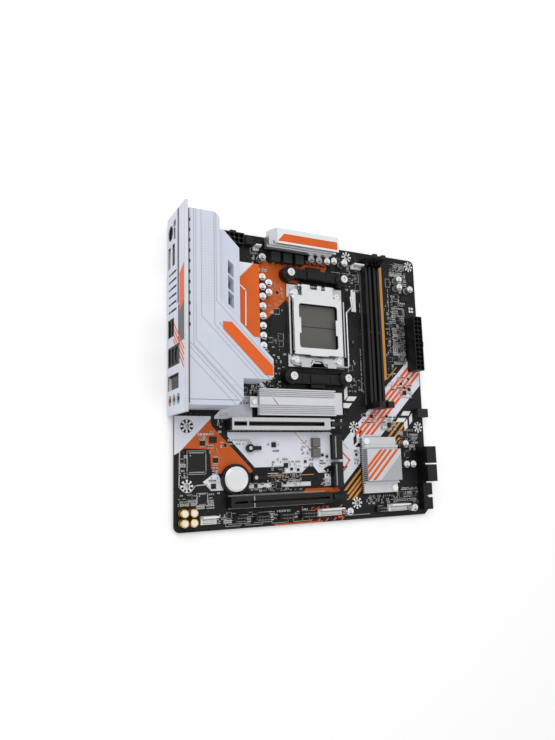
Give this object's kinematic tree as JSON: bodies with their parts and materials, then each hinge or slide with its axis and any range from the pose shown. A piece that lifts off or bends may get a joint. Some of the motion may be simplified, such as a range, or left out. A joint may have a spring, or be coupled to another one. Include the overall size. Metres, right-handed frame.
{
  "type": "computer motherboard",
  "caption": "Micro-size mainboard with processor socket, memory and expansion slots, covered rear ports, heatsinks, battery and headers.",
  "frame": {"origin": "on the axis of the datum mounting hole, in the plane of the board's underside", "axes": "+Z out of the component side, +X from the rear connector edge to the front edge, +Y from the expansion slots to the processor power stage"},
  "size_m": [0.2503, 0.2458, 0.0461],
  "materials": {
    "board_laminate": "black solder resist with white, orange and gold print",
    "black_plastic": "moulded black nylon",
    "port_plastic": "dark grey moulded plastic",
    "package_resin": "black epoxy moulding compound",
    "cover_paint": "satin pale grey-lavender paint",
    "cover_badge": "satin orange paint, plain",
    "heatsink_metal": "bead blasted pale silver, part painted orange",
    "bright_steel": "nickel plated steel",
    "backplate_steel": "black coated steel",
    "plate_steel": "pale grey painted steel with orange and dark print",
    "contact_metal": "gold flashed copper alloy",
    "can_metal": "bright drawn aluminium",
    "pad_silicone": "grey silicone pad",
    "white_plastic": "cream moulded nylon",
    "button_plastic": "moulded button cap"
  },
  "bodies": {
    "board": {"antenna_contacts": "contact_metal", "antenna_socket": "black_plastic", "atx_power_connector": "black_plastic", "audio_capacitors": "can_metal", "audio_jacks": "port_plastic", "battery_holder": "black_plastic", "capacitor_cans": "can_metal", "chipset_heatsink": "heatsink_metal", "chipset_push_pins": "white_plastic", "chokes": "package_resin", "connector_pins": "contact_metal", "cooler_bracket_bottom": "black_plastic", "cooler_bracket_screws": "bright_steel", "cooler_bracket_top": "black_plastic", "cover_badge": "cover_badge", "cpu_backplate": "backplate_steel", "cpu_power_connector": "black_plastic", "cpu_socket_body": "black_plastic", "cpu_socket_frame": "bright_steel", "display_ports": "bright_steel", "front_usb3_header": "black_plastic", "front_usb_c_header": "bright_steel", "ic_packages": "package_resin", "io_cover": "cover_paint", "io_plate": "plate_steel", "keyboard_port": "black_plastic", "lan_usb_stack": "bright_steel", "m2_sockets": "black_plastic", "m2_standoffs": "bright_steel", "memory_slot_a": "black_plastic", "memory_slot_b": "black_plastic", "mosfets": "package_resin", "pcb": "board_laminate", "pcie_slot_armour": "bright_steel", "pcie_slot_lower": "black_plastic", "pcie_slot_main": "black_plastic", "pin_headers": "black_plastic", "sata_ports": "port_plastic", "slot_contacts": "contact_metal", "socket_screws": "bright_steel", "thermal_pads": "pad_silicone", "underside_screws": "bright_steel", "usb_stack": "bright_steel", "vrm_heatsink_rear": "heatsink_metal", "vrm_heatsink_top": "heatsink_metal", "white_headers": "white_plastic"},
    "load_plate": {"socket_load_plate": "bright_steel"},
    "lever": {"socket_lever": "bright_steel"},
    "latch_a": {"memory_latch_a": "black_plastic"},
    "latch_b": {"memory_latch_b": "black_plastic"},
    "slot_latch_main": {"pcie_latch_main": "black_plastic"},
    "slot_latch_lower": {"pcie_latch_lower": "black_plastic"},
    "drive_latch_upper": {"m2_latch_upper": "black_plastic"},
    "drive_latch_lower": {"m2_latch_lower": "black_plastic"},
    "drive_cooling": {"m2_heatsink": "heatsink_metal", "m2_pad": "pad_silicone", "m2_heatsink_screw": "bright_steel"},
    "battery": {"coin_cell": "bright_steel"},
    "button": {"flash_button": "button_plastic"}
  },
  "joints": [
    {"name": "load_plate_hinge", "type": "hinge", "parent": "board", "child": "load_plate", "pos_m": [0.11804, 0.12319, 0.0055], "axis": [-1, 0, 0], "range_deg": [0, 95]},
    {"name": "lever_pivot", "type": "hinge", "parent": "board", "child": "lever", "pos_m": [0.11804, 0.05259, 0.0058], "axis": [1, 0, 0], "range_deg": [0, 125]},
    {"name": "memory_latch_a_pivot", "type": "hinge", "parent": "board", "child": "latch_a", "pos_m": [0.17284, 0.15239, 0.005], "axis": [-1, 0, 0], "range_deg": [0, 28]},
    {"name": "memory_latch_b_pivot", "type": "hinge", "parent": "board", "child": "latch_b", "pos_m": [0.18224, 0.15239, 0.005], "axis": [-1, 0, 0], "range_deg": [0, 28]},
    {"name": "slot_latch_main_pivot", "type": "hinge", "parent": "board", "child": "slot_latch_main", "pos_m": [0.12834, 0.00159, 0.0048], "axis": [0, 1, 0], "range_deg": [0, 20]},
    {"name": "slot_latch_lower_pivot", "type": "hinge", "parent": "board", "child": "slot_latch_lower", "pos_m": [0.12834, -0.05937, 0.0048], "axis": [0, 1, 0], "range_deg": [0, 20]},
    {"name": "drive_latch_upper_pivot", "type": "hinge", "parent": "board", "child": "drive_latch_upper", "pos_m": [0.05234, -0.01751, 0.0036], "axis": [0, 0, -1], "range_deg": [0, 90]},
    {"name": "drive_latch_lower_pivot", "type": "hinge", "parent": "board", "child": "drive_latch_lower", "pos_m": [0.05674, -0.04101, 0.0036], "axis": [0, 0, 1], "range_deg": [0, 90]},
    {"name": "drive_cooling_lift", "type": "slide", "parent": "board", "child": "drive_cooling", "axis": [0, 0, 1], "range_m": [0, 0.04]},
    {"name": "battery_lift", "type": "slide", "parent": "board", "child": "battery", "axis": [0, 0, 1], "range_m": [0, 0.015]},
    {"name": "flash_button_press", "type": "slide", "parent": "board", "child": "button", "axis": [1, 0, 0], "range_m": [0, 0.0006], "stiffness_N_per_m": 400}
  ]
}
